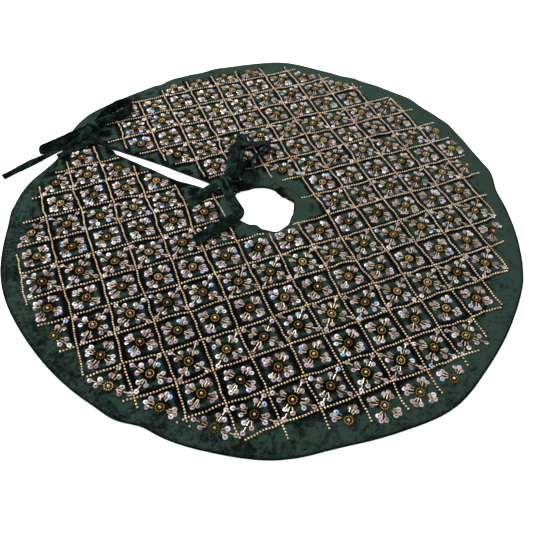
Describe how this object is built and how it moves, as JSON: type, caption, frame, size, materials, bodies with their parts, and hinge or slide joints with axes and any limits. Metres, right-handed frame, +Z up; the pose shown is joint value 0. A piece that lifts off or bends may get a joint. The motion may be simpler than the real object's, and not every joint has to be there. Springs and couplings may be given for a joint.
{
  "type": "christmas tree skirt",
  "caption": "Round velvet tree skirt with a beaded trellis of gold beads and sequin flowers, a slit from hole to hem, and velvet bows that tie it shut.",
  "frame": {"origin": "on the floor at the middle of the trunk hole", "axes": "+Z up, the tree's axis; the slit runs at azimuth 148 degrees from +X; +Y is away from the front edge"},
  "size_m": [1.2415, 1.2198, 0.0304],
  "materials": {
    "green_velvet": "crushed velvet",
    "tie_velvet": "velvet",
    "lining_cloth": "plain woven",
    "sewing_thread": "polyester thread",
    "gold_trellis_beads": "metallised pearl",
    "antique_gold_beads": "metallised antique gold",
    "iridescent_sequins": "iridescent film",
    "bugle_beads": "silver lined"
  },
  "bodies": {
    "skirt": {"lining": "lining_cloth", "velvet_top": "green_velvet", "hem_edge": "green_velvet", "hole_edge": "green_velvet", "slit_edge_upper": "green_velvet", "slit_edge_lower": "green_velvet", "hem_stitching": "sewing_thread", "bead_strands_across": "gold_trellis_beads", "bead_strands_down": "gold_trellis_beads", "crossing_beads": "gold_trellis_beads", "rosette_rings": "antique_gold_beads", "rosette_centres": "antique_gold_beads", "sequins_long_sprays": "iridescent_sequins", "sequins_short_sprays": "iridescent_sequins", "bugles_long_sprays": "bugle_beads", "bugles_short_sprays": "bugle_beads", "hem_tie_root_upper": "tie_velvet", "hem_tie_root_lower": "tie_velvet", "hem_bow_knot": "tie_velvet", "hole_tie_root_upper": "tie_velvet", "hole_tie_root_lower": "tie_velvet", "hole_bow_knot": "tie_velvet", "hole_bow_loop_small": "tie_velvet"},
    "hem_loop_right": {"hem_bow_loop_right": "tie_velvet"},
    "hem_loop_left": {"hem_bow_loop_left": "tie_velvet"},
    "hem_tail_long": {"hem_bow_tail_long": "tie_velvet"},
    "hem_tail_short": {"hem_bow_tail_short": "tie_velvet"},
    "hole_loops": {"hole_bow_loop_large": "tie_velvet", "hole_bow_under_strap": "tie_velvet"},
    "hole_tail_left": {"hole_bow_tail_left": "tie_velvet"},
    "hole_tail_front": {"hole_bow_tail_front": "tie_velvet"}
  },
  "joints": [
    {"name": "hem_loop_right_lift", "type": "hinge", "parent": "skirt", "child": "hem_loop_right", "pos_m": [-0.40977, 0.33572, 0.0304], "axis": [0.6691, -0.7431, 0], "range_deg": [0, 60]},
    {"name": "hem_loop_left_lift", "type": "hinge", "parent": "skirt", "child": "hem_loop_left", "pos_m": [-0.44219, 0.31083, 0.026], "axis": [-0.5446, 0.8387, 0], "range_deg": [0, 60]},
    {"name": "hem_tail_long_lift", "type": "hinge", "parent": "skirt", "child": "hem_tail_long", "pos_m": [-0.43451, 0.30161, 0.0114], "axis": [-0.9063, 0.4226, 0], "range_deg": [0, 40]},
    {"name": "hem_tail_short_lift", "type": "hinge", "parent": "skirt", "child": "hem_tail_short", "pos_m": [-0.41842, 0.30048, 0.0114], "axis": [-0.9563, -0.2924, 0], "range_deg": [0, 40]},
    {"name": "hole_loops_lift", "type": "hinge", "parent": "skirt", "child": "hole_loops", "pos_m": [-0.0766, 0.0968, 0.0148], "axis": [0.8616, -0.5075, 0], "range_deg": [0, 60]},
    {"name": "hole_tail_left_lift", "type": "hinge", "parent": "skirt", "child": "hole_tail_left", "pos_m": [-0.11343, 0.06209, 0.0114], "axis": [-0.5736, 0.8192, 0], "range_deg": [0, 70]},
    {"name": "hole_tail_front_lift", "type": "hinge", "parent": "skirt", "child": "hole_tail_front", "pos_m": [-0.09265, 0.05262, 0.0114], "axis": [-0.9945, -0.1045, 0], "range_deg": [0, 70]}
  ]
}
